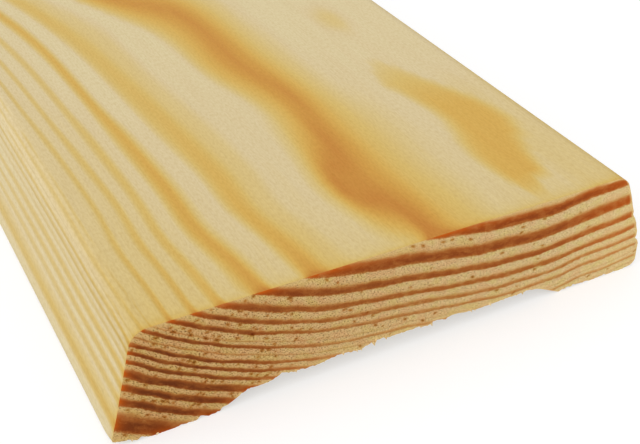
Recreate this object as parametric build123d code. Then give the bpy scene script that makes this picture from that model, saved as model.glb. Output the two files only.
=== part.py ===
from build123d import *

import os

# Door casing: one straight moulding of planed pine, lying on its back with the show face up.
# X runs across the width, Y along the length and Z up from the back.
# The origin is the middle of the back, halfway along the length.

# Driving dimensions, in millimetres and degrees
LENGTH = 2200.0
BACK_WIDTH = 58.0
THICKNESS = 12.0
EDGE_ANGLE = 76.0  # slope of the two long edges, measured from the back
FACE_RADIUS = 2.0  # rounding of the two arrises beside the show face
BACK_EASE = 0.6  # easing of the two arrises beside the back
FOOT_WIDTH = 10.0  # bearing strip along each side of the back, its easing included
RELIEF_DEPTH = 1.5  # hollow planed into the back between the feet
RELIEF_ANGLE = 27.0  # slope of the hollow's two flanks, measured from the back
RELIEF_RADIUS = 3.0  # where a flank runs into the hollow's flat


def blank_section():
    """The section before its back is hollowed: slanted edges, rounded face arrises, eased back arrises."""
    with BuildSketch(Plane.XZ) as section:
        Trapezoid(BACK_WIDTH, THICKNESS, EDGE_ANGLE, align=(Align.CENTER, Align.MIN))
        back_corners, face_corners = section.vertices().group_by(Axis.Y)
        fillet(face_corners, FACE_RADIUS)
        fillet(back_corners, BACK_EASE)
    return section.sketch


def relief_section():
    """The hollow that keeps the middle of the back clear of the wall, between one foot and the other."""
    mouth = BACK_WIDTH - 2 * FOOT_WIDTH
    with BuildSketch(Plane.XZ) as section:
        Trapezoid(mouth, RELIEF_DEPTH, RELIEF_ANGLE, align=(Align.CENTER, Align.MIN))
        fillet(section.vertices().group_by(Axis.Y)[-1], RELIEF_RADIUS)
    return section.sketch


def door_casing():
    """The whole moulding: its section run along the length, with a square saw cut at each end."""
    casing = extrude(blank_section() - relief_section(), LENGTH / 2, both=True)
    casing.label = "door_casing"
    return casing


os.makedirs("parts", exist_ok=True)
export_step(door_casing(), "parts/door_casing.step")
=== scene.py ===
# Door casing: the looks of one planed pine moulding, lying on its back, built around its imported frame.
# Sizes are in millimetres unless a name says otherwise. x runs across the width from its middle,
# y along the length from the near saw cut, and z up from the floor.

import math

import bpy
import numpy as np
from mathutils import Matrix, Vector, noise


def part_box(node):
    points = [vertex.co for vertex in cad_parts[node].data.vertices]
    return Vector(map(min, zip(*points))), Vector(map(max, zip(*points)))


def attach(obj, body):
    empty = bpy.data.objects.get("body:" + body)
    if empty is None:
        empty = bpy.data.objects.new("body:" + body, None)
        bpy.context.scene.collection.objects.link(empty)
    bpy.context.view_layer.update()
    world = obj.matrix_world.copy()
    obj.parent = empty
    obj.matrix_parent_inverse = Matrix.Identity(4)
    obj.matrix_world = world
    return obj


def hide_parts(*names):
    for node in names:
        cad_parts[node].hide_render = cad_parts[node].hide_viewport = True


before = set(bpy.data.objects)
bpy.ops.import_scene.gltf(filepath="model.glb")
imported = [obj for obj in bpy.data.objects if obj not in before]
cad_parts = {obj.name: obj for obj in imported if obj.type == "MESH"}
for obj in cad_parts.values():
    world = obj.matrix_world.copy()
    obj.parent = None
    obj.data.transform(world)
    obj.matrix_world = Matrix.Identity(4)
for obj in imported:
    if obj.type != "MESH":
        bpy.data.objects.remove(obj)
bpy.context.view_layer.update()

MM = 0.001  # metres
NODE = "door_casing"
BODY = "root"

# The section, as the part's source has it
node_low, node_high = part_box(NODE)
WIDTH, LENGTH, THICKNESS = (node_high - node_low) / MM
EDGE_LEAN = math.radians(90 - 76)  # of the two long edges, from upright
FACE_RADIUS = 2.0
BACK_EASE = 0.6
FOOT_WIDTH = 10.0
RELIEF_DEPTH = 1.5
RELIEF_SLOPE = math.radians(27)
RELIEF_RADIUS = 3.0

# The saw cut lies this far inside the stock's length, so that its torn fibres stay within it
SAW_FUZZ = 0.3

# Camera, from the photograph's perspective: place and turn against the near saw cut
LENS = 62.32
SENSOR_WIDTH = 36.0
CAMERA_PLACE = (-44.52, -68.45, 70.12)
CAMERA_YAW = math.radians(27.66)  # to the right of the length
CAMERA_PITCH = math.radians(34.29)  # below level

# Light: a soft lamp and an even sky that together light the show face at a level of one
SKY_LEVEL = 0.715
LAMP_LEVEL = 0.54
LAMP_DIRECTION = (-0.72, -0.42, 0.555)  # towards the lamp
LAMP_SPREAD = math.radians(90)
FLOOR_SHADE = 0.55  # how much of its light the floor gives back
FLOOR_LIFT = 0.5  # what the camera sees of the floor beyond that
FLOOR_HALF = 6.0  # metres, from its middle to each side
SEEN_RAYS = ("Is Camera Ray", "Is Glossy Ray", "Is Transmission Ray")  # that the camera sees by

# Mesh density
CUT_ACROSS = 520  # steps of the near saw cut's grid across the width
CUT_UP = 104  # and up the thickness
NEAR_EVERY = 2  # beyond the cut, one point in so many goes on along the length
FAR_EVERY = 8  # and one in so many beyond the near stretch
COLLAR = (0.15, 0.35, 0.7, 1.2, 2.0, 3.2)  # stations that keep every point of the cut's rim
NEAR_STRETCH = 75.0
NEAR_STEP = 2.5
FAR_STEP = 25.0
SHARP_ANGLE = math.radians(40)  # a sharper edge between faces isn't shaded smooth

# Growth rings are arcs about the pith, far above the stock, with soft swells in them
PITH = (17.2, 77.7)  # x and z
SWELLS = ((0.58, 1.5, 6.4), (-1.5, -17.7, 19.3), (0.24, 21.9, 2.4))  # height, place across and reach
CUT_SWELLS = ((0.24, -26.0, 2.2), (-0.11, 3.5, 2.6), (-0.11, 17.0, 1.8))  # the same, on the near cut alone
CUT_SWELL_RISE = (1.0, 8.0)  # heights between which those grow from none to whole
WAVERS = ((0.16, 0.3, 0.7), (0.08, 1.7, 2.5), (0.04, 4.3, 4.3))  # noise: height, turns across and up
WAVER_REACH = 3.0  # how far along the length they die out
FACE_TURN = (0.3, -21.0, 2.2, 0.8, 1.0)  # a turn under the face: height, x, reaches across, down and along

# How far the rings sink along the length
DRIFT_WAVE = (3.25, 1400.0)  # a slow wave: its height and its length
DRIFT_RISES = ((3.7, 95.0, 28.0), (0.29, 11.8, 5.0))  # added to it: height, place along and reach
DRIFT_NEAR = 160.0  # up to about here the drift is held back across the stock
DRIFT_HELD_LEFT = (-30.0, 5.0)  # by the left edge: place and reach
DRIFT_HELD_RIGHT = (1.2, 5.7)  # and from the middle rightwards: place and reach
DRIFT_START = 1.0  # how far from the cut it sets in

# Waves that give the show face its figure: height, place and reach across, place and reach along
FIGURE_WAVES = (
    (0.50, -0.2, 2.9, 11.5, 12.4),
    (0.32, -0.3, 6.0, 41.0, 10.0),
    (-0.15, -26.2, 0.25, 15.0, 40.0),
    (-0.30, -21.0, 1.4, 14.0, 14.0),
    (-0.25, -23.2, 1.0, 22.0, 18.0),
    (-0.35, -26.8, 0.8, 20.0, 40.0),
    (0.40, -16.6, 1.0, 0.0, 3.0),
    (-0.14, -11.5, 1.5, 10.0, 4.5),
    (0.53, -14.8, 3.6, 31.5, 30.0),
    (0.35, 24.0, 3.0, 40.0, 60.0),
)

# How golden a ring's latewood is on a planed face, from its sharp outer edge inwards in shares of its
# thickness: with a soft edge, the same where its darkest part lies deeper, with a hard edge, and with a
# flat middle
SOFT_BAND = (
    (-0.4, 0.0), (-0.1, 0.3), (0.0, 0.51), (0.1, 0.7), (0.2, 0.86), (0.26, 0.9), (0.33, 0.86), (0.4, 0.8),
    (0.5, 0.73), (0.6, 0.63), (0.7, 0.53), (0.8, 0.46), (1.0, 0.36), (1.2, 0.18), (1.5, 0.0),
)
DEEP_BAND = (
    (-0.2, 0.0), (-0.1, 0.08), (0.0, 0.33), (0.1, 0.54), (0.3, 0.8), (0.45, 0.88), (0.6, 0.79), (0.7, 0.67),
    (0.8, 0.53), (0.9, 0.38), (1.0, 0.27), (1.25, 0.05), (1.4, 0.0),
)
HARD_BAND = (
    (-0.2, 0.0), (-0.1, 0.08), (0.0, 0.43), (0.1, 0.77), (0.2, 0.93), (0.3, 1.0), (0.4, 0.95), (0.5, 0.82),
    (0.6, 0.6), (0.7, 0.47), (0.9, 0.37), (1.1, 0.14), (1.25, 0.0),
)
FLAT_BAND = (
    (-0.3, 0.0), (-0.1, 0.2), (0.0, 0.4), (0.1, 0.58), (0.3, 0.87), (0.5, 0.98), (0.6, 1.0), (0.7, 0.95),
    (0.8, 0.8), (0.9, 0.58), (1.0, 0.36), (1.2, 0.1), (1.35, 0.0),
)
BANDS = (SOFT_BAND, HARD_BAND, FLAT_BAND)
SOFT, HARD, FLAT = range(3)
SOFT_DEEPENS = (26.0, 2.0)  # where along the soft band gives way to the deep one: place and reach
BAND_GROWTH = ((0.1, 55.0, 2.0), (0.3, 54.0, 3.0), (-0.33, 35.0, 2.0))  # share, place along and reach

# The rings from the pith side outwards: the level of each one's sharp outer edge, the thickness of its
# latewood at the left and at the right of the stock, how dark that is there on a saw cut, how golden on a
# planed face near the cut and further in, and its band
RINGS = (
    (13.00, 0.80, 0.80, 0.80, 0.80, 0.60, 0.60, SOFT),
    (10.30, 1.20, 1.20, 0.98, 0.98, 1.06, 1.06, SOFT),
    (7.78, 1.20, 1.25, 1.12, 0.90, 0.78, 0.45, HARD),
    (5.93, 1.15, 0.72, 1.22, 0.82, 0.78, 0.64, FLAT),
    (4.31, 0.74, 0.60, 0.95, 0.69, 0.63, 0.30, FLAT),
    (3.05, 0.54, 0.46, 1.00, 0.56, 0.63, 0.30, FLAT),
    (1.97, 0.43, 0.38, 1.00, 0.50, 0.61, 0.30, FLAT),
    (1.15, 0.14, 0.10, 0.30, 0.15, 0.40, 0.18, FLAT),
    (0.46, 0.37, 0.34, 0.97, 0.40, 0.40, 0.22, FLAT),
    (-0.26, 0.16, 0.14, 0.40, 0.16, 0.40, 0.18, FLAT),
    (-1.13, 0.38, 0.34, 1.00, 0.45, 0.55, 0.24, FLAT),
    (-1.97, 0.37, 0.32, 1.00, 0.46, 0.52, 0.22, FLAT),
    (-2.89, 0.43, 0.34, 0.96, 0.42, 0.28, 0.12, FLAT),
    (-4.24, 0.84, 0.55, 1.00, 0.80, 0.52, 0.22, FLAT),
    (-5.52, 0.72, 0.45, 1.00, 0.90, 0.50, 0.22, FLAT),
    (-6.98, 0.80, 0.60, 1.00, 0.95, 0.42, 0.18, FLAT),
    (-9.55, 1.95, 1.95, 1.14, 0.95, 0.60, 0.30, HARD),
)
OUTER_RINGS = 10  # more of them on either side of those, which come into the stock further along
RING_PITCH = (1.6, 2.6)
RING_LATE = (0.5, 0.9)
OUTER_LOOK = (0.9, 0.8, 0.5, 0.5, FLAT)  # how dark and how golden those are, and their band
RING_SEED = 5
SIDE_CHANGE = (-12.0, 6.0)  # where a ring's left-hand look gives way to its right-hand one: place and reach
CUT_SIDE_SHIFT = 2.5  # how much further left that is for its darkness on a cut
SIDE_BLEND = 48.0  # a cut's colours go over from left to right within this width
EARLY_MIDDLE = 0.25  # of a ring's count, where one ring's look gives way to the next
WIDE_LATE = (1.3, 1.8)  # from this thickness to that, latewood comes to darken little by little
WIDE_PALENESS = 0.5  # how much paler it starts then
FURTHER_IN = 25.0  # how soon a planed band takes on its further tone
FURTHER_END = 150.0  # and where along the length it has lost it again

# A faint gold over the show face's earlywood
SHOW_FACE_START = (-26.0, 0.4)  # place and reach
NEAR_GOLD = (0.12, 9.0)  # beside the cut: strength and reach along
LEFT_GOLD = (0.16, 35.0, -23.0, 5.0)  # at the left: the same, with its place and reach across
STRETCH_GOLD = (0.06, 42.0)  # even over a stretch: strength and reach along
GOLD_ON_BANDS = 0.3  # the share of it that the bands take on
CUT_LINE = (0.3, 0.5)  # a golden line along the saw cut: strength and reach along

# Thin dark lines along the rings' outer edges, at the left of the stock and most on its left edge
LEFT_EDGE = (-25.2, 0.3)  # where that edge begins: place and reach
LINE_STRENGTH = (0.35, 0.5)  # at the left, and more on the edge
THIN_LATE = 0.4  # latewood no thicker than this draws its line at full strength
LINE_LEAST = 0.4  # the least share left of it, in thick latewood and far along
LINE_FADE = 25.0  # how far along it fades
ARRIS_PAINTED_SHADE = (-25.5, 1.1, 20.0)  # painted shade on the left arris, offsetting the lamp's light on its round: place and reach across, reach along

# A golden leaf on the show face, where the plane just touched the ring above: y, its middle and half width
LEAF = (
    (-1.5, 16.5, 0.9), (3.0, 16.2, 1.1), (4.5, 16.9, 2.2), (6.0, 17.2, 2.7), (9.0, 17.2, 3.0),
    (12.0, 18.1, 3.8), (14.5, 19.0, 4.0), (16.5, 19.3, 3.6), (19.5, 19.2, 3.2), (22.5, 18.4, 2.9),
    (25.5, 17.5, 2.6), (28.5, 16.4, 2.5), (31.5, 16.4, 1.5), (35.0, 16.2, 0.3),
)
LEAF_GOLD = 0.7
LEAF_FADES = (6.0, 14.0)  # how far in from its near tip and its far tip it comes to full strength
LEAF_TAPER = 0.6  # power of the far one
FAINT_LEAF = (0.28, 17.4, 1.8, 47.0, 4.0)  # another: strength, place and reach across, place and reach along
LEAF_DEPTH = 1.0  # how far down the arris the two are gone

# The near cut's lower edge, where the saw tore splinters out of the back: x and height
TORN_EDGE = (
    (-28.8, 0.85), (-28.0, 0.65), (-27.3, 0.45), (-26.6, 0.0), (-26.3, 0.3), (-25.9, 0.3), (-25.3, 0.0),
    (-22.7, 0.0), (-22.4, 0.15), (-21.0, 0.0), (-20.7, 0.35), (-20.4, 0.3), (-19.8, 0.0), (-18.8, 0.15),
    (-18.5, 0.45), (-17.6, 0.5), (-16.8, 1.15), (-16.0, 1.6), (-15.0, 1.45), (-13.5, 1.6), (-12.5, 2.05),
    (-11.5, 1.7), (-9.0, 1.6), (-6.9, 1.85), (-4.4, 1.55), (-3.4, 1.85), (-2.4, 2.05), (-1.0, 1.85),
    (1.0, 1.85), (3.3, 1.65), (3.9, 1.9), (5.2, 1.7), (5.8, 1.9), (7.6, 1.65), (9.5, 1.5),
    (13.9, 1.6), (15.2, 1.65), (17.0, 0.8), (17.8, 0.3), (19.1, 0.0), (19.8, 0.15), (20.1, 0.25),
    (20.6, 0.1), (20.9, 0.3), (21.3, 0.25), (21.6, 0.1), (22.6, 0.15), (23.0, 0.0), (24.0, 0.0),
    (24.3, 0.12), (25.0, 0.12), (25.5, 0.0), (26.2, 0.12), (26.8, 0.0), (27.5, 0.05), (28.2, 0.15),
    (28.6, 0.3), (28.9, 0.55),
)
RAGGED = ((0.10, 3.1, 0.5), (0.08, 7.0, 3.5))  # noise on that edge: height, turns across and layer
TORN_SIDE = 3.0  # the two edges give way to a torn corner up to this height
# The fuzz on the near cut's right edge: height, and how far it stands out
RIGHT_FUZZ = (
    (0.3, 0.0), (0.8, 0.17), (1.2, 0.27), (2.0, 0.46), (2.9, 0.7), (3.4, 0.6), (3.7, 0.35),
    (4.0, 0.55), (4.6, 0.68), (5.2, 0.6), (5.7, 0.62), (6.3, 0.48), (6.9, 0.25), (7.3, 0.36),
    (8.0, 0.26), (9.0, 0.2), (9.6, 0.14), (10.6, 0.0),
)
TORN_REACH = (0.6, 2.6)  # how far along the back the tears run
TORN_TURNS = (1.3, 2.5)  # noise that spreads those: turns across and layer
FRAYED_GAP = (0.4, 0.1)  # the right edge's frayed rim: distances in from it where it is none and whole
FRAYED_FROM = (22.0, 24.0)  # and places across
FRAYED_PALENESS = 0.8  # how much of the latewood's darkness it takes away

# Light that shines through the near cut's rim and its right-hand end
GLOW_REACH = 0.6  # how far in from the rim
GLOW_RISE = (0.5, 12.0, 0.9)  # at the floor, the height over which it would grow by one, and the most
GLOW_RIGHT = (0.45, 18.0, 26.0)  # at the right-hand end: how much, and where across it is none and whole
FAR_GLOW = 0.35  # on the far cut

# How far the near cut's surface lies in behind its plane
EARLY_START = (0.5, 0.35)  # counts of a ring between which latewood gives way to torn earlywood
EARLY_DEPTH = 0.03
EARLY_TEAR = 0.025  # noise in that depth
CUT_TEAR = 0.008  # and over all of the cut
CUT_TURNS = 3.0  # of the noise in a millimetre
PIT_DEPTH = 0.02
RELIEF_START = 0.3  # how far in from the rim the relief comes to full depth

# Open resin canals on the near cut: the biggest by their places, and how many small ones
BIG_PITS = (
    (-17.5, 9.6), (-15.3, 7.6), (13.4, 9.85), (-20.9, 9.8), (-22.4, 10.7), (-24.7, 3.9), (-11.6, 10.3),
    (2.0, 11.4), (-20.8, 6.7), (-21.2, 7.0), (-13.8, 5.3), (-14.4, 5.5), (-19.6, 8.9), (15.9, 10.0),
    (4.2, 11.1), (7.3, 10.4), (11.2, 7.5), (-6.1, 7.0), (-5.5, 6.7), (-3.1, 5.2), (-3.7, 5.8),
    (0.9, 11.7), (-18.6, 8.3), (-23.9, 3.5),
)
SMALL_PITS = 130
BIG_PIT_SIZES = ((0.18, 0.28), (0.10, 0.15))  # from least to most: length and width
BIG_PIT_DEPTH = (0.6, 0.4)  # at the right of the stock, and how much more at the left
SMALL_PIT_SIZES = ((0.12, 0.26), (0.08, 0.14), (0.3, 0.8))  # the same, and depth
PIT_WOOD = (0.05, 0.42)  # the part of a ring's count in which small ones open
PIT_MARGIN = 0.25  # their least distance from the rim
PIT_ODDS = 0.12  # their odds at the right of the stock, where the left has one more
PIT_TILT = 0.3  # spread of their turn from the way of the rings, in radians
PIT_REACH = 3  # lengths beyond which a canal leaves no mark
PIT_SEED = 11

# Slivers that the saw left standing, with their sizes from least to most
SLIVER_SEED = 23
SLIVER_CORNERS = ((-1, -0.6), (1, -0.6), (1, 0.6), (-1, 0.6))  # of its section, in halves of its width
SLIVER_TAPER = ((0.0, 1.0), (0.55, 0.75))  # shares along it, and its size there
SLIVER_FACING = (0.3, 0.2, 0.9)  # about the way that its flat side faces
SLIVER_BEND = 0.4  # how far its middle stands up, in widths

# Those that hang from the lower edge
HANGING_SPAN = (-28.0, 28.0)
HANGING_SLIVERS = 24  # small ones
HANGING_SIZES = ((0.03, 0.08), (0.3, 0.5))  # length and width
LONG_SLIVERS = ((-2.95, 0.3, 0.5), (3.45, 0.25, 0.4), (14.4, 0.25, 0.4), (-4.4, 0.15, 0.5))  # x and sizes
HANGING_ROOT = (0.5, 0.16)  # how far behind the cut and above the edge they start
HANGING_OUT = (0.02, 0.25)  # how far out of the cut they end
HANGING_SWAY = 0.12  # spread of their ends sideways
HANGING_LOWEST = 0.03

# Those that stand out from the right edge
EDGE_SLIVERS = 36
EDGE_HEIGHTS = ((5.3, 0.8), (2.6, 0.9))  # the heights about which they stand, and the spread
EDGE_LIMITS = (0.6, 7.2)  # the lowest and the highest
EDGE_ROOT = 0.25  # how far in from the edge they start
EDGE_ROOT_DEPTH = (0.1, 0.5)  # and how far behind the cut
EDGE_OUT = (0.3, 0.6)  # how far out of the edge they end
EDGE_DROP = (-0.1, 0.6)  # and how far down
EDGE_TIP_DEPTH = (-0.2, 0.4)  # and how far behind the cut
EDGE_LOWEST = 0.05
EDGE_MARGIN = 0.08  # their least distance from the side of the stock's box
EDGE_WIDTHS = (0.08, 0.24)


def srgb(red, green, blue):
    """A colour from its 0 to 255 screen values, as the linear numbers that a shader takes."""
    def linear(value):
        share = value / 255
        return share / 12.92 if share <= 0.04045 else ((share + 0.055) / 1.055) ** 2.4
    return (linear(red), linear(green), linear(blue), 1.0)


def new_object(name, data):
    """An object in the scene for a mesh, a lamp or a camera."""
    made = bpy.data.objects.new(name, data)
    bpy.context.scene.collection.objects.link(made)
    return made


# Shares and noise

def hump(value, centre, reach, power=2):
    """A smooth bump of height one, flatter on top with a higher power."""
    return np.exp(-(np.abs((value - centre) / reach) ** power))


def humps(value, rows):
    """Some bumps together, each given by its height, place and reach."""
    return sum(height * hump(value, place, reach) for height, place, reach in rows)


def step(value, middle, reach):
    """A smooth step from none up to one, or down from one where the reach is below zero."""
    return 1 / (1 + np.exp((middle - value) / reach))


def slope(value, none, whole):
    """A share that goes straight from none at one value to whole at another."""
    return np.clip((value - none) / (whole - none), 0, 1)


def noise_over(x, z, layer=0.0):
    """Smooth noise, either side of nought, at places across and up."""
    return np.array([noise.noise((across, layer, up)) for across, up in np.broadcast(x, z)])


# Growth rings

def ring_drift(x, y):
    """How far the rings sink along the length, with the waves that give the planed face its figure."""
    height, length = DRIFT_WAVE
    slow = height * np.sin(y * 2 * math.pi / length) + humps(y, DRIFT_RISES)
    middle, reach = DRIFT_HELD_RIGHT
    share = (1 - hump(x, *DRIFT_HELD_LEFT)) * step(x, middle, -reach)
    near = np.exp(-(y / DRIFT_NEAR) ** 2)
    figure = 0
    for height, at_x, wide, at_y, long in FIGURE_WAVES:
        figure = figure + height * hump(x, at_x, wide) * hump(y, at_y, long)
    start = 1 - np.exp(-np.maximum(y - SAW_FUZZ, 0) / DRIFT_START)
    return start * (slow * (share * near + (1 - near)) + figure)


def ring_waver(points):
    """The rings' wanderings across the near cut, and a turn just beneath the face, soon gone further in."""
    x, y, z = points.T
    waver = sum(size * noise_over(x * across, z * up) for size, across, up in WAVERS)
    swell = humps(x, CUT_SWELLS) * slope(z, *CUT_SWELL_RISE)
    size, place, reach, depth, along = FACE_TURN
    turn = size * hump(x, place, reach) * np.exp((z - THICKNESS) / depth) * np.exp(-y / along)
    return (waver - swell) * np.exp(-y / WAVER_REACH) - turn


def ring_level(points):
    """Each point's height in the stack of rings, as if they were flat at the foot of their arcs."""
    x, y, z = points.T
    level = PITH[1] - np.hypot(x - PITH[0], PITH[1] - z)
    return level - humps(x, SWELLS) + ring_drift(x, y) + ring_waver(points)


def all_rings():
    """The rings that the near saw cut shows, and more on either side, from the pith side outwards."""
    rng = np.random.default_rng(RING_SEED)
    inner, outer = [], []
    above, below = RINGS[0][0], RINGS[-1][0]
    for _ in range(OUTER_RINGS):
        above += rng.uniform(*RING_PITCH)
        below -= rng.uniform(*RING_PITCH)
        late = rng.uniform(*RING_LATE)
        inner.insert(0, (above, late, late, *OUTER_LOOK))
        outer.append((below, late, late, *OUTER_LOOK))
    return np.array(inner + list(RINGS) + outer)


def leftness(x):
    """How much of its left-hand look a ring has at x."""
    place, reach = SIDE_CHANGE
    return 0.5 - 0.5 * np.tanh((x - place) / reach)


def own_ring(phase, rings):
    """The number of the ring whose latewood each point is in or nearest to."""
    return np.clip(np.floor(phase - EARLY_MIDDLE).astype(int), 0, len(rings) - 1)


def ring_phase(level, x, rings):
    """Counts rings outwards: earlywood takes the first half of each count, latewood the second."""
    count = np.arange(len(rings))
    phases = np.concatenate([count + 1.0, count + 0.5])

    def counted(late):
        levels = np.concatenate([rings[:, 0], rings[:, 0] + late])
        order = np.argsort(levels)
        return np.interp(level, levels[order], phases[order])

    left = leftness(x)
    return left * counted(rings[:, 1]) + (1 - left) * counted(rings[:, 2])


def cut_darkness(phase, x, rings):
    """How dark each point's own latewood is on a saw cut, where a wide one darkens little by little."""
    ring = own_ring(phase, rings)
    left = leftness(x + CUT_SIDE_SHIFT)
    wide = slope(rings[ring, 1], *WIDE_LATE)
    inner = 1 - np.clip(2 * (phase - ring) - 1, 0, 1)
    dark = left * rings[ring, 3] + (1 - left) * rings[ring, 4]
    return dark * (1 - WIDE_PALENESS * wide * inner ** 2)


def frayed_rim(gap, x):
    """How far the near cut's points lie in the frayed rim along its right edge, from none to one."""
    return slope(gap, *FRAYED_GAP) * slope(x, *FRAYED_FROM)


def leaf_gold(x, y, z):
    """The golden leaf on the show face, flat in its middle, with a fainter one beyond it."""
    along, middle, half = np.array(LEAF).T
    inside = hump(x, np.interp(y, along, middle), np.interp(y, along, half), power=5)
    near_fade, far_fade = LEAF_FADES
    ends = np.clip((y - along[0]) / near_fade, 0, 1) * np.clip((along[-1] - y) / far_fade, 0, 1) ** LEAF_TAPER
    strength, at_x, wide, at_y, long = FAINT_LEAF
    fainter = strength * hump(x, at_x, wide) * hump(y, at_y, long)
    return (LEAF_GOLD * inside * ends + fainter) * slope(z, THICKNESS - LEAF_DEPTH, THICKNESS)


def earlywood_gold(x, y):
    """The faint gold of the show face between its bands, near the cut and at the left."""
    strength, reach = NEAR_GOLD
    gold = strength * np.exp(-y / reach)
    strength, reach, at_x, wide = LEFT_GOLD
    gold = gold + strength * hump(x, at_x, wide) * np.exp(-y / reach)
    strength, reach = STRETCH_GOLD
    gold = gold + strength * np.exp(-(y / reach) ** 4)
    return gold * step(x, *SHOW_FACE_START)


def band_gold(share, y, kind):
    """How golden a band of one kind is, at shares of its thickness in from its outer edge."""
    band = np.interp(share, *np.array(BANDS[kind]).T)
    if kind == SOFT:
        deep = step(y, *SOFT_DEEPENS)
        band = (1 - deep) * band + deep * np.interp(share, *np.array(DEEP_BAND).T)
    return band


def face_gold(level, x, y, z, rings):
    """How golden each point is on the planed faces, deepest just inside each ring's sharp outer edge."""
    left = leftness(x)
    further = (1 - np.exp(-y / FURTHER_IN)) * np.exp(-(y / FURTHER_END) ** 2)
    growth = [1 + size * step(y, place, reach) for size, place, reach in BAND_GROWTH]
    base = earlywood_gold(x, y)
    gold = base
    for edge, late_left, late_right, _, _, near_gold, far_gold, kind in rings:
        late = (left * late_left + (1 - left) * late_right) * growth[int(kind)]
        tone = near_gold + (far_gold - near_gold) * further
        band = tone * band_gold((level - edge) / late, y, int(kind))
        gold = np.maximum(gold, band + GOLD_ON_BANDS * base)
    strength, reach = CUT_LINE
    return np.maximum(gold, leaf_gold(x, y, z)) + strength * np.exp(-y / reach)


def line_shade(phase, x, y, rings):
    """How dark a thin line each ring draws along its outer edge."""
    ring = own_ring(phase, rings)
    place, reach = LEFT_EDGE
    thinness = np.clip(THIN_LATE / rings[ring, 1], LINE_LEAST, 1)
    fading = LINE_LEAST + (1 - LINE_LEAST) * np.exp(-y / LINE_FADE)
    at_left, on_edge = LINE_STRENGTH
    strength = at_left * leftness(x) + on_edge * step(x, place, -reach)
    return rings[ring, 5] * thinness * fading * strength


def painted_arris_shade(x, y):
    """Painted shade on the left arris, strongest near the cut, that offsets the lamp's light on its round."""
    place, wide, long = ARRIS_PAINTED_SHADE
    return hump(x, place, wide, power=4) * np.exp(-y / long)


def cut_glow(gap, x, z):
    """How much light shines through each point of the near cut."""
    at_floor, rise, most = GLOW_RISE
    rim = np.exp(-gap / GLOW_REACH) * np.clip(at_floor + z / rise, 0, most)
    right, none, whole = GLOW_RIGHT
    return np.maximum(rim, right * slope(x, none, whole))


# The section's outline

def section_corners():
    """The section's corners as (x, z, radius), round it from the left foot's outer corner."""
    half = WIDTH / 2
    face = half - THICKNESS * math.tan(EDGE_LEAN)
    mouth = half - FOOT_WIDTH
    flat = mouth - RELIEF_DEPTH / math.tan(RELIEF_SLOPE)
    right = [
        (flat, RELIEF_DEPTH, RELIEF_RADIUS),
        (mouth, 0.0, 0.0),
        (half, 0.0, BACK_EASE),
        (face, THICKNESS, FACE_RADIUS),
    ]
    left = [(-x, z, radius) for x, z, radius in reversed(right)]
    return left[1:] + right + left[:1]


def round_corner(before, corner, after, radius, steps=24):
    """The arc that rounds a corner between two neighbours, or the corner itself where it is sharp."""
    corner = np.array(corner)
    if radius == 0:
        return corner[None]
    back, ahead = np.array(before) - corner, np.array(after) - corner
    back, ahead = back / np.linalg.norm(back), ahead / np.linalg.norm(ahead)
    half = math.acos(np.clip(back @ ahead, -1, 1)) / 2
    middle = (back + ahead) / np.linalg.norm(back + ahead)
    centre = corner + middle * radius / math.sin(half)
    turn = math.pi / 2 - half
    angles = np.linspace(-turn, turn, steps + 1)
    side = (ahead - back) / np.linalg.norm(ahead - back)
    return centre + radius * (np.outer(np.sin(angles), side) - np.outer(np.cos(angles), middle))


def outline_runs():
    """The outline as four runs, bottom, right, top and left, each from one corner's middle to the next."""
    corners = section_corners()
    arcs = []
    for i, (x, z, radius) in enumerate(corners):
        before, after = corners[i - 1][:2], corners[(i + 1) % len(corners)][:2]
        arcs.append(round_corner(before, (x, z), after, radius))
    left_foot, right_foot, right_face, left_face = 0, 5, 6, 7

    def run(first, last):
        pieces = [arcs[first][len(arcs[first]) // 2:]]
        pieces += [arcs[i] for i in range(first + 1, last if last > first else len(arcs))]
        pieces.append(arcs[last][:len(arcs[last]) // 2 + 1])
        return np.concatenate(pieces)

    return (run(left_foot, right_foot), run(right_foot, right_face),
            run(right_face, left_face), run(left_face, left_foot))


def resampled(run, steps):
    """A run's points spaced evenly along it."""
    along = np.concatenate([[0], np.cumsum(np.linalg.norm(np.diff(run, axis=0), axis=1))])
    at = np.linspace(0, along[-1], steps + 1)
    return np.stack([np.interp(at, along, run[:, k]) for k in (0, 1)], axis=1)


def section_loop():
    """The closed outline as a loop of points, spaced evenly along each of its four runs."""
    steps = (CUT_ACROSS, CUT_UP, CUT_ACROSS, CUT_UP)
    return np.concatenate([resampled(run, count)[:-1] for run, count in zip(outline_runs(), steps)])


def torn_height(x):
    """The height of the near cut's ragged lower edge."""
    places, heights = np.array(TORN_EDGE).T
    ragged = sum(size * noise_over(x * turns, 0.0, layer) for size, turns, layer in RAGGED)
    return np.maximum(np.interp(x, places, heights) + ragged, 0.0)


def torn_loop(loop):
    """The near cut's outline, without the splinters torn from its lower edge."""
    torn = loop.copy()
    bottom = np.arange(CUT_ACROSS + 1)
    torn[bottom, 1] = np.maximum(loop[bottom, 1], torn_height(loop[bottom, 0]))
    right = np.arange(CUT_ACROSS, CUT_ACROSS + CUT_UP)
    left = np.append(np.arange(2 * CUT_ACROSS + CUT_UP, len(loop)), 0)
    for side, corner, way in ((right, CUT_ACROSS, 1), (left, 0, -1)):
        rise = torn[corner, 1] - loop[corner, 1]
        give = np.clip((TORN_SIDE - loop[side, 1]) / (TORN_SIDE - loop[corner, 1]), 0, 1)
        height = loop[side, 1] + rise * give
        edge = way * (WIDTH / 2 - height * math.tan(EDGE_LEAN))
        torn[side, 0] = loop[side, 0] + (edge - loop[side, 0]) * give * min(1, rise)
        torn[side, 1] = height
    fuzz = np.interp(torn[right, 1], *np.array(RIGHT_FUZZ).T)
    torn[right, 0] = np.minimum(torn[right, 0] + fuzz, WIDTH / 2)
    return torn


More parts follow.
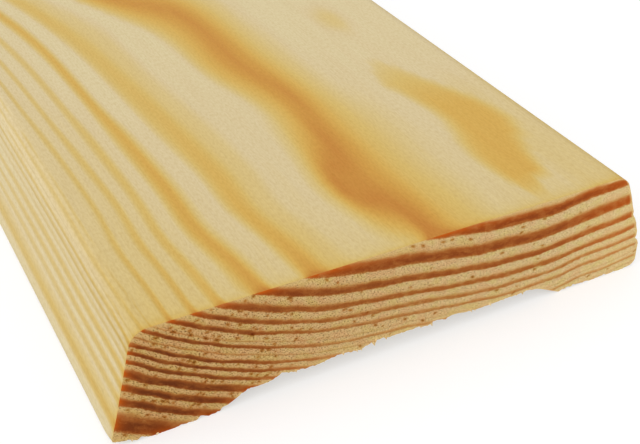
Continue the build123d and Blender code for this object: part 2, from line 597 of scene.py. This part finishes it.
def torn_share(loop, y):
    """How much of the tear is left at a distance along the back from the near cut."""
    least, most = TORN_REACH
    turns, layer = TORN_TURNS
    spread = 0.5 + noise_over(loop[:, 0] * turns, 0.0, layer)
    reach = least + (most - least) * np.clip(spread, 0, 1)
    return np.clip(1 - (y - SAW_FUZZ) / reach, 0, 1)[:, None]


# The saw cut

def patch(loop, across, up):
    """A grid of points that fills a loop of four runs, blended in from all four."""
    closed = np.concatenate([loop, loop[:1]])
    bottom = closed[:across + 1]
    right = closed[across:across + up + 1]
    top = closed[across + up:2 * across + up + 1][::-1]
    left = closed[2 * across + up:][::-1]
    s = np.linspace(0, 1, across + 1)[None, :, None]
    t = np.linspace(0, 1, up + 1)[:, None, None]
    between_runs = (1 - t) * bottom[None] + t * top[None] + (1 - s) * left[:, None] + s * right[:, None]
    corners = (1 - t) * ((1 - s) * bottom[0] + s * bottom[-1]) + t * ((1 - s) * top[0] + s * top[-1])
    return between_runs - corners


def rim_gap(grid):
    """How far each point of a cut's grid lies from its rim."""
    rims = (grid[:1], grid[-1:], grid[:, :1], grid[:, -1:])
    return np.min([np.linalg.norm(grid - rim, axis=2) for rim in rims], axis=0).ravel()


def pits(flat, gap, phase, rng):
    """The resin canals of the near cut, as x, z, length, width and depth."""
    least, most = PIT_WOOD
    share = phase % 1.0
    open_wood = np.flatnonzero((share > least) & (share < most) & (gap > PIT_MARGIN))
    odds = PIT_ODDS + leftness(flat[open_wood, 0])
    small = flat[rng.choice(open_wood, SMALL_PITS, replace=False, p=odds / odds.sum())]
    marks = []
    right, more = BIG_PIT_DEPTH
    for x, z in BIG_PITS:
        marks.append((x, z, *[rng.uniform(*size) for size in BIG_PIT_SIZES], right + more * leftness(x)))
    for x, z in small:
        marks.append((x, z, *[rng.uniform(*size) for size in SMALL_PIT_SIZES]))
    return marks


def pit_marks(flat, gap, phase):
    """How deep in a resin canal each point of the cut lies, from none to one."""
    rng = np.random.default_rng(PIT_SEED)
    depth = np.zeros(len(flat))
    for x, z, length, width, size in pits(flat, gap, phase, rng):
        tilt = math.atan2(x - PITH[0], PITH[1] - z) + rng.normal(0, PIT_TILT)
        near = np.flatnonzero(np.abs(flat - (x, z)).max(axis=1) < PIT_REACH * length)
        dx, dz = (flat[near] - (x, z)).T
        along = dx * math.cos(tilt) + dz * math.sin(tilt)
        across = dz * math.cos(tilt) - dx * math.sin(tilt)
        depth[near] = np.maximum(depth[near], size * hump(along, 0, length) * hump(across, 0, width))
    return depth


def cut_relief(flat, gap, phase, pit):
    """How far the cut's surface lies in behind its plane: proud latewood, torn earlywood and open canals."""
    x, z = flat.T
    early = slope(phase % 1.0, *EARLY_START)
    torn = noise_over(x * CUT_TURNS, z * CUT_TURNS)
    inward = early * (EARLY_DEPTH + EARLY_TEAR * torn) + CUT_TEAR * torn + PIT_DEPTH * pit
    return inward * slope(gap, 0, RELIEF_START)


def rim_numbers(across, up):
    """The numbers of a grid's rim points, in the order of its loop."""
    grid = np.arange((across + 1) * (up + 1)).reshape(up + 1, across + 1)
    return np.concatenate([grid[0, :-1], grid[:-1, -1], grid[-1, :0:-1], grid[:0:-1, 0]])


def as_points(flat, y):
    """Section points (x, z) set at a distance along the length."""
    return np.stack([flat[:, 0], np.broadcast_to(y, len(flat)), flat[:, 1]], axis=1)


def to_metres(points):
    """Points in the frame's own metres."""
    return (points - (0, LENGTH / 2, 0)) * MM


class Faces:
    """Faces gathered for one mesh, each with its material and its corners' places on the baking map."""

    def __init__(self):
        self.corners, self.places, self.materials = [], [], []

    def add(self, corners, places, material):
        self.corners.append(corners)
        self.places.append(places)
        self.materials.append(material)


# Where each stretch of the surface lies on the baking map: left, bottom, right, top
NEAR_CUT_MAP = (0.004, 0.004, 0.996, 0.200)
NEAR_SIDE_MAP = (0.004, 0.210, 0.996, 0.530)
FAR_SIDE_MAP = (0.004, 0.540, 0.996, 0.900)
FAR_CUT_MAP = (0.004, 0.910, 0.500, 0.996)
MAP_NUDGE = 1e-6  # puts a strip that starts on the near side's end on the far side's map
PLANED, SAWN = 0, 1


def on_map(area, across, up):
    """A place within an area of the map, from its shares across and up."""
    left, bottom, right, top = area
    return (left + across * (right - left), bottom + up * (top - bottom))


def add_cut(faces, first, across, up, flat, area, outward):
    """The faces of one saw cut's grid, whose points start at a given number."""
    shares = (flat - (-WIDTH / 2, 0)) / (WIDTH, THICKNESS)
    for j in range(up):
        for i in range(across):
            a = j * (across + 1) + i
            ring = [a, a + 1, a + across + 2, a + across + 1]
            if not outward:
                ring.reverse()
            faces.add([first + k for k in ring], [on_map(area, *shares[k]) for k in ring], SAWN)


def side_place(share, y):
    """A place on the map for a share of the way round and a distance along the length."""
    if y <= NEAR_STRETCH:
        return on_map(NEAR_SIDE_MAP, share, y / NEAR_STRETCH)
    return on_map(FAR_SIDE_MAP, share, (y - NEAR_STRETCH) / (LENGTH - NEAR_STRETCH))


def add_strip(faces, here, there, y_here, y_there, seam):
    """The faces between two loops, where the second may have fewer points than the first."""
    every = len(here) // len(there)
    count = len(there)
    nudge = MAP_NUDGE if y_there > NEAR_STRETCH else 0.0
    for i in range(count):
        start = (i / count - seam) % 1.0
        shares = [start + k / count / every for k in range(every + 1)]
        rim = [here[(i * every + k) % len(here)] for k in range(every + 1)]
        ring = [rim[0], there[i], there[(i + 1) % count], *rim[:0:-1]]
        places = [side_place(shares[0], y_here + nudge), side_place(shares[0], y_there),
                  side_place(shares[-1], y_there)]
        places += [side_place(share, y_here + nudge) for share in shares[:0:-1]]
        faces.add(ring, places, PLANED)


def stations():
    """Distances along the length at which the section is repeated, and the step between its points there."""
    near = np.append(np.arange(COLLAR[-1] + NEAR_STEP, NEAR_STRETCH, NEAR_STEP), NEAR_STRETCH)
    count = round((LENGTH - SAW_FUZZ - NEAR_STRETCH) / FAR_STEP)
    far = np.linspace(NEAR_STRETCH, LENGTH - SAW_FUZZ, count + 1)[1:-1]
    plan = [(y + SAW_FUZZ, 1) for y in COLLAR]
    plan += [(y, NEAR_EVERY) for y in near]
    return plan + [(y, FAR_EVERY) for y in far]


def near_cut(torn, rings):
    """The near cut's section points, their places along, distances from the rim and depths in a canal."""
    grid = patch(torn, CUT_ACROSS, CUT_UP)
    flat, gap = grid.reshape(-1, 2), rim_gap(grid)
    level = ring_level(as_points(flat, SAW_FUZZ))
    phase = ring_phase(level, flat[:, 0], rings)
    pit = pit_marks(flat, gap, phase)
    return flat, SAW_FUZZ + cut_relief(flat, gap, phase, pit), gap, pit


def casing_shape(rings):
    """The casing's points and faces, from the near cut to the far one, with the near cut's own values."""
    loop = section_loop()
    torn = torn_loop(loop)
    seam = CUT_ACROSS / 2 / len(loop)  # the map is cut open along the back
    faces = Faces()
    flat, depth, gap, pit = near_cut(torn, rings)
    points = [as_points(flat, depth)]
    add_cut(faces, 0, CUT_ACROSS, CUT_UP, flat, NEAR_CUT_MAP, outward=True)
    here, y_here = list(rim_numbers(CUT_ACROSS, CUT_UP)), SAW_FUZZ
    total = len(flat)
    for y, every in stations():
        ring = (loop + (torn - loop) * torn_share(loop, y))[::every]
        points.append(as_points(ring, y))
        there = list(range(total, total + len(ring)))
        total += len(ring)
        add_strip(faces, here, there, y_here, y, seam)
        here, y_here = there, y
    across, up = CUT_ACROSS // FAR_EVERY, CUT_UP // FAR_EVERY
    far_flat, far_end = patch(loop[::FAR_EVERY], across, up).reshape(-1, 2), LENGTH - SAW_FUZZ
    points.append(as_points(far_flat, far_end))
    add_cut(faces, total, across, up, far_flat, FAR_CUT_MAP, outward=False)
    add_strip(faces, here, list(total + rim_numbers(across, up)), y_here, far_end, seam)
    return np.concatenate(points), faces, gap, pit


def write_values(mesh, name, values):
    """A number or a place for each of a mesh's points, which its materials read by name."""
    kind, field = ("FLOAT_VECTOR", "vector") if values.ndim == 2 else ("FLOAT", "value")
    mesh.attributes.new(name, kind, "POINT").data.foreach_set(field, values.astype(np.float32).ravel())


def write_looks(mesh, points, rings, gap, pit):
    """What the two materials of the casing read: the rings and the looks that follow from them."""
    x, y, z = points.T
    level = ring_level(points)
    phase = ring_phase(level, x, rings)
    on_cut = len(gap)
    beyond = len(points) - on_cut
    dark = cut_darkness(phase, x, rings)
    dark[:on_cut] *= 1 - FRAYED_PALENESS * frayed_rim(gap, x[:on_cut])
    glow = cut_glow(gap, x[:on_cut], z[:on_cut])
    looks = {
        "ring": phase,
        "cut_tone": dark,
        "gold": face_gold(level, x, y - SAW_FUZZ, z, rings),
        "line": line_shade(phase, x, y, rings),
        "arris": painted_arris_shade(x, y),
        "pit": np.concatenate([pit, np.zeros(beyond)]),
        "glow": np.concatenate([glow, np.full(beyond, FAR_GLOW)]),
        "stack": np.stack([x, y, level], axis=1),
    }
    for name, values in looks.items():
        write_values(mesh, name, values)


def build_casing(materials):
    """The whole moulding as one mesh, planed and sawn."""
    rings = all_rings()
    points, faces, gap, pit = casing_shape(rings)
    mesh = bpy.data.meshes.new("casing")
    mesh.from_pydata(to_metres(points).tolist(), [], faces.corners)
    for material in materials:
        mesh.materials.append(material)
    mesh.polygons.foreach_set("material_index", faces.materials)
    mesh.polygons.foreach_set("use_smooth", [True] * len(faces.corners))
    places = np.array([place for face in faces.places for place in face], np.float32)
    mesh.uv_layers.new(name="OFBake").data.foreach_set("uv", places.ravel())
    write_looks(mesh, points, rings, gap, pit)
    mesh.set_sharp_from_angle(angle=SHARP_ANGLE)
    return new_object("casing", mesh)


# Slivers

def add_sliver(points, faces, root, tip, width):
    """One splinter that tapers from its root to its tip, bent a little downwards."""
    root, tip = np.array(root), np.array(tip)
    way = (tip - root) / np.linalg.norm(tip - root)
    side = np.cross(way, SLIVER_FACING)
    side /= np.linalg.norm(side)
    up = np.cross(side, way)
    first, sides = len(points), len(SLIVER_CORNERS)
    for share, size in SLIVER_TAPER:
        middle = root + (tip - root) * share + up * SLIVER_BEND * width * share
        points += [middle + (side * a + up * b) * width * size / 2 for a, b in SLIVER_CORNERS]
    points.append(tip)
    faces.append([first + k for k in reversed(range(sides))])
    for k in range(sides):
        n = (k + 1) % sides
        faces.append([first + k, first + n, first + sides + n, first + sides + k])
        faces.append([first + sides + k, first + sides + n, first + 2 * sides])


def add_hanging(points, faces, rng):
    """Slivers along the torn lower edge of the near cut: small ones anywhere, long ones at their places."""
    edge = torn_loop(section_loop())[:CUT_ACROSS + 1]
    behind, above = HANGING_ROOT

    def hang(x, length, width):
        z = np.interp(x, *edge.T)
        tip_x = x + rng.normal(0, HANGING_SWAY)
        tip_y = SAW_FUZZ - rng.uniform(*HANGING_OUT)
        tip_z = max(z - min(length, z), HANGING_LOWEST)
        add_sliver(points, faces, (x, SAW_FUZZ + behind, z + above), (tip_x, tip_y, tip_z), width)

    for x in rng.uniform(*HANGING_SPAN, HANGING_SLIVERS):
        hang(x, *[rng.uniform(*size) for size in HANGING_SIZES])
    for x, length, width in LONG_SLIVERS:
        hang(x, length, width)


def add_fuzz(points, faces, rng):
    """Slivers that stand out from the right edge of the near cut."""
    for _ in range(EDGE_SLIVERS):
        z = rng.choice([rng.normal(height, spread) for height, spread in EDGE_HEIGHTS])
        z = np.clip(z, *EDGE_LIMITS)
        edge = WIDTH / 2 - z * math.tan(EDGE_LEAN)
        tip_x = min(edge + rng.uniform(*EDGE_OUT), WIDTH / 2 - EDGE_MARGIN)
        root = (edge - EDGE_ROOT, SAW_FUZZ + rng.uniform(*EDGE_ROOT_DEPTH), z)
        tip_z = max(z - rng.uniform(*EDGE_DROP), EDGE_LOWEST)
        tip_y = SAW_FUZZ + rng.uniform(*EDGE_TIP_DEPTH)
        add_sliver(points, faces, root, (tip_x, tip_y, tip_z), rng.uniform(*EDGE_WIDTHS))


def build_fibres(material):
    """All slivers of the near cut as one piece."""
    rng = np.random.default_rng(SLIVER_SEED)
    points, faces = [], []
    add_hanging(points, faces, rng)
    add_fuzz(points, faces, rng)
    mesh = bpy.data.meshes.new("torn_fibres")
    mesh.from_pydata(to_metres(np.array(points)).tolist(), [], faces)
    mesh.materials.append(material)
    return new_object("torn_fibres", mesh)


# Materials

class Paint:
    """One material's nodes: most methods add a node and give back the socket with its result."""

    def __init__(self, name):
        self.material = bpy.data.materials.new(name)
        self.material.use_nodes = True
        self.tree = self.material.node_tree
        self.shader = self.tree.nodes["Principled BSDF"]

    def put(self, socket, value):
        """Gives a socket its value, or the link that it comes from."""
        if isinstance(value, bpy.types.NodeSocket):
            self.tree.links.new(value, socket)
        else:
            socket.default_value = value

    def add(self, kind, values, **settings):
        """A node of some kind, with its sockets' values and its settings."""
        made = self.tree.nodes.new("ShaderNode" + kind)
        for name, value in settings.items():
            setattr(made, name, value)
        for socket, value in values.items():
            self.put(made.inputs[socket], value)
        return made

    def attribute(self, name):
        return self.add("Attribute", {}, attribute_name=name).outputs["Fac"]

    def place(self, stretch):
        """Places on the piece in millimetres, each way stretched by its own share."""
        at = self.add("TexCoord", {}).outputs["Object"]
        scale = [share / MM for share in stretch]
        return self.add("VectorMath", {0: at, 1: scale}, operation="MULTIPLY").outputs["Vector"]

    def stack(self, stretch):
        """Places along the rings: across, along the length and up the stack, in millimetres."""
        at = self.add("Attribute", {}, attribute_name="stack").outputs["Vector"]
        return self.add("VectorMath", {0: at, 1: stretch}, operation="MULTIPLY").outputs["Vector"]

    def math(self, operation, first, second=0.0, third=0.0):
        return self.add("Math", {0: first, 1: second, 2: third}, operation=operation).outputs[0]

    def noise(self, at, detail=2.0, roughness=0.5):
        values = {"Vector": at, "Scale": 1.0, "Detail": detail, "Roughness": roughness}
        return self.add("TexNoise", values).outputs[0]

    def sway(self, base, wave, amount):
        """A value moved either way by a noise."""
        return self.math("MULTIPLY_ADD", self.math("SUBTRACT", wave, 0.5), amount, base)

    def ramp(self, factor, stops):
        made = self.add("ValToRGB", {"Fac": factor})
        elements = made.color_ramp.elements
        while len(elements) < len(stops):
            elements.new(0.5)
        for element, (position, colour) in zip(elements, stops):
            element.position = position
            element.color = colour
        return made.outputs["Color"]

    def mix(self, factor, first, second, blend="MIX"):
        made = self.add("Mix", {0: factor, 6: first, 7: second}, data_type="RGBA", blend_type=blend)
        return made.outputs[2]

    def finish(self, colour, roughness, specular):
        """Sets the shader's own sockets and gives back the material."""
        self.put(self.shader.inputs["Base Color"], colour)
        self.put(self.shader.inputs["Roughness"], roughness)
        self.put(self.shader.inputs["Specular IOR Level"], specular)
        return self.material

    def bump(self, height, depth, strength):
        values = {"Height": height, "Distance": depth * MM, "Strength": strength}
        self.put(self.shader.inputs["Normal"], self.add("Bump", values).outputs["Normal"])


def grey(value):
    """A colour without hue, from its linear level."""
    return (value, value, value, 1.0)


WHITE = grey(1.0)


def planed_pine():
    """The planed faces: pale wood with amber bands where the latewood comes to the surface."""
    paint = Paint("planed_pine")
    fibre = paint.noise(paint.place((6.0, 0.10, 6.0)), detail=3.0, roughness=0.6)
    wander = paint.noise(paint.place((0.8, 0.06, 0.8)))
    pores = paint.noise(paint.place((5.0, 1.6, 5.0)), roughness=0.6)
    depth = paint.sway(paint.sway(paint.attribute("gold"), wander, 0.10), fibre, 0.10)
    colour = paint.ramp(depth, (
        (0.0, srgb(221, 206, 164)), (0.06, srgb(219, 201, 159)), (0.2, srgb(217, 195, 138)),
        (0.45, srgb(216, 187, 111)), (0.68, srgb(215, 175, 89)), (0.85, srgb(208, 157, 72)),
        (1.0, srgb(197, 133, 58)),
    ))
    streak = paint.ramp(fibre, ((0.30, srgb(240, 233, 220)), (0.70, WHITE)))
    colour = paint.mix(0.5, colour, streak, "MULTIPLY")
    speck = paint.ramp(pores, ((0.30, srgb(232, 222, 200)), (0.60, WHITE)))
    colour = paint.mix(0.45, colour, speck, "MULTIPLY")
    edge = paint.ramp(paint.math("FRACT", paint.sway(paint.attribute("ring"), fibre, 0.06)), (
        (0.0, grey(0.3)), (0.05, grey(0.0)), (0.55, grey(0.0)), (0.8, grey(0.8)), (0.92, grey(1.0)),
        (1.0, grey(0.4)),
    ))
    line = paint.math("MULTIPLY", edge, paint.attribute("line"))
    colour = paint.mix(line, colour, srgb(214, 206, 186), "MULTIPLY")
    # painted shade along the left arris, offsetting the lamp's light on its round
    colour = paint.mix(paint.attribute("arris"), colour, srgb(246, 244, 238), "MULTIPLY")
    paint.bump(fibre, depth=0.03, strength=0.3)
    return paint.finish(colour, roughness=0.6, specular=0.1)


def end_grain_depth(paint, speckle):
    """How deep in dark latewood each point of a saw cut is, broken up a little by clouds."""
    share = paint.math("FRACT", paint.sway(paint.attribute("ring"), speckle, 0.14))
    band = paint.ramp(share, (
        (0.00, grey(0.35)), (0.05, grey(0.0)), (0.28, grey(0.02)), (0.42, grey(0.15)), (0.50, grey(0.48)),
        (0.60, grey(0.82)), (0.72, grey(0.97)), (0.84, grey(1.0)), (0.93, grey(0.88)), (1.0, grey(0.5)),
    ))
    depth = paint.math("MULTIPLY", band, paint.attribute("cut_tone"))
    clouds = paint.noise(paint.stack((0.8, 0.0, 1.5)), detail=3.0, roughness=0.6)
    return paint.math("MULTIPLY", depth, paint.ramp(clouds, ((0.32, grey(0.72)), (0.56, grey(1.05)))))


def sawn_pine():
    """The saw cuts: end grain, with dark latewood between rougher pale bands and the canals open in it."""
    paint = Paint("sawn_pine")
    speckle = paint.noise(paint.place((7.0, 7.0, 7.0)), roughness=0.7)
    flecks = paint.noise(paint.stack((5.5, 0.0, 10.0)), detail=1.5)
    tints = paint.noise(paint.stack((0.6, 3.0, 1.0)), detail=1.0)
    depth = end_grain_depth(paint, speckle)
    left = paint.ramp(depth, (
        (0.0, srgb(219, 183, 124)), (0.3, srgb(199, 145, 82)), (0.6, srgb(164, 95, 43)),
        (1.0, srgb(114, 57, 26)),
    ))
    right = paint.ramp(depth, (
        (0.0, srgb(237, 214, 161)), (0.3, srgb(220, 175, 109)), (0.6, srgb(193, 121, 58)),
        (0.85, srgb(174, 93, 40)), (1.0, srgb(150, 73, 31)),
    ))
    across = paint.add("SeparateXYZ", {0: paint.stack((1 / SIDE_BLEND, 0.0, 0.0))}).outputs["X"]
    rightward = paint.math("ADD", across, 0.5)
    colour = paint.mix(rightward, left, right)
    early = paint.math("SUBTRACT", 0.9, depth)
    rough = paint.math("MULTIPLY", early, paint.math("MULTIPLY_ADD", rightward, -0.6, 1.0))
    dust = paint.ramp(flecks, (
        (0.34, srgb(100, 62, 30)), (0.42, srgb(222, 198, 166)), (0.50, WHITE),
    ))
    colour = paint.mix(rough, colour, dust, "MULTIPLY")
    grain = paint.ramp(speckle, ((0.32, srgb(208, 176, 136)), (0.60, WHITE)))
    colour = paint.mix(0.5, colour, grain, "MULTIPLY")
    hue = paint.ramp(tints, ((0.36, srgb(255, 243, 243)), (0.5, WHITE), (0.64, srgb(251, 255, 234))))
    colour = paint.mix(early, colour, hue, "MULTIPLY")
    glow = paint.attribute("glow")
    colour = paint.mix(paint.math("MULTIPLY", depth, glow), colour, srgb(216, 100, 20))
    rim = paint.math("MULTIPLY", paint.math("MULTIPLY", early, glow), 0.6)
    colour = paint.mix(rim, colour, srgb(242, 211, 136))
    canal = paint.ramp(paint.attribute("pit"), (
        (0.0, WHITE), (0.35, srgb(220, 184, 134)), (1.0, srgb(116, 74, 30)),
    ))
    colour = paint.mix(1.0, colour, canal, "MULTIPLY")
    paint.bump(speckle, depth=0.05, strength=0.15)
    return paint.finish(colour, roughness=0.8, specular=0.05)


def torn_pine():
    """Loose fibres, paler than the wood that they were torn from."""
    paint = Paint("torn_pine")
    speckle = paint.noise(paint.place((3.0, 1.0, 3.0)))
    colour = paint.ramp(speckle, ((0.3, srgb(214, 172, 104)), (0.7, srgb(238, 218, 168))))
    return paint.finish(colour, roughness=0.7, specular=0.1)


# The stage

def seen_by_camera(tree):
    """A value of a material or a sky: one for the rays that the camera sees by, and none for the others."""
    path = tree.nodes.new("ShaderNodeLightPath")
    seen = path.outputs[SEEN_RAYS[0]]
    for ray in SEEN_RAYS[1:]:
        either = tree.nodes.new("ShaderNodeMath")
        either.operation = "MAXIMUM"
        tree.links.new(seen, either.inputs[0])
        tree.links.new(path.outputs[ray], either.inputs[1])
        seen = either.outputs[0]
    return seen


def build_floor():
    """A plain pale floor that shows white to the camera and still takes the casing's shadow."""
    mesh = bpy.data.meshes.new("floor")
    square = ((-1, -1), (1, -1), (1, 1), (-1, 1))
    mesh.from_pydata([(FLOOR_HALF * x, FLOOR_HALF * y, 0) for x, y in square], [], [(0, 1, 2, 3)])
    paint = Paint("pale_floor")
    lift = paint.math("MULTIPLY", seen_by_camera(paint.tree), FLOOR_LIFT)
    paint.put(paint.shader.inputs["Emission Color"], WHITE)
    paint.put(paint.shader.inputs["Emission Strength"], lift)
    mesh.materials.append(paint.finish(grey(FLOOR_SHADE), roughness=1.0, specular=0.0))
    return new_object("floor", mesh)


def build_light():
    """An even sky, white where the camera sees it, and one wide soft lamp from the upper left."""
    world = bpy.data.worlds.new("studio")
    bpy.context.scene.world = world
    world.use_nodes = True
    tree = world.node_tree
    background = tree.nodes["Background"]
    background.inputs["Color"].default_value = WHITE
    level = tree.nodes.new("ShaderNodeMapRange")
    level.inputs["To Min"].default_value = SKY_LEVEL
    level.inputs["To Max"].default_value = 1.0
    tree.links.new(seen_by_camera(tree), level.inputs["Value"])
    tree.links.new(level.outputs["Result"], background.inputs["Strength"])
    lamp = bpy.data.lights.new("lamp", "SUN")
    lamp.energy = LAMP_LEVEL * math.pi
    lamp.angle = LAMP_SPREAD
    holder = new_object("lamp", lamp)
    holder.rotation_mode = "QUATERNION"
    holder.rotation_quaternion = Vector(LAMP_DIRECTION).to_track_quat("Z", "Y")


def build_camera():
    """The photograph's camera, in front of the near cut and above it to the left."""
    camera = bpy.data.cameras.new("camera")
    camera.lens = LENS
    camera.sensor_width = SENSOR_WIDTH
    camera.clip_start = 1 * MM
    holder = new_object("camera", camera)
    level = math.cos(CAMERA_PITCH)
    forward = Vector((math.sin(CAMERA_YAW) * level, math.cos(CAMERA_YAW) * level, -math.sin(CAMERA_PITCH)))
    place = Vector(CAMERA_PLACE) + Vector((0, SAW_FUZZ - LENGTH / 2, 0))
    holder.location = place * MM
    holder.rotation_mode = "QUATERNION"
    holder.rotation_quaternion = forward.to_track_quat("-Z", "Y")
    bpy.context.scene.camera = holder


build_camera()
build_light()
build_floor()
casing = build_casing([planed_pine(), sawn_pine()])
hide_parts(NODE)
for piece in (casing, build_fibres(torn_pine())):
    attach(piece, BODY)
bpy.context.scene.view_settings.view_transform = "Standard"

bpy.context.view_layer.update()
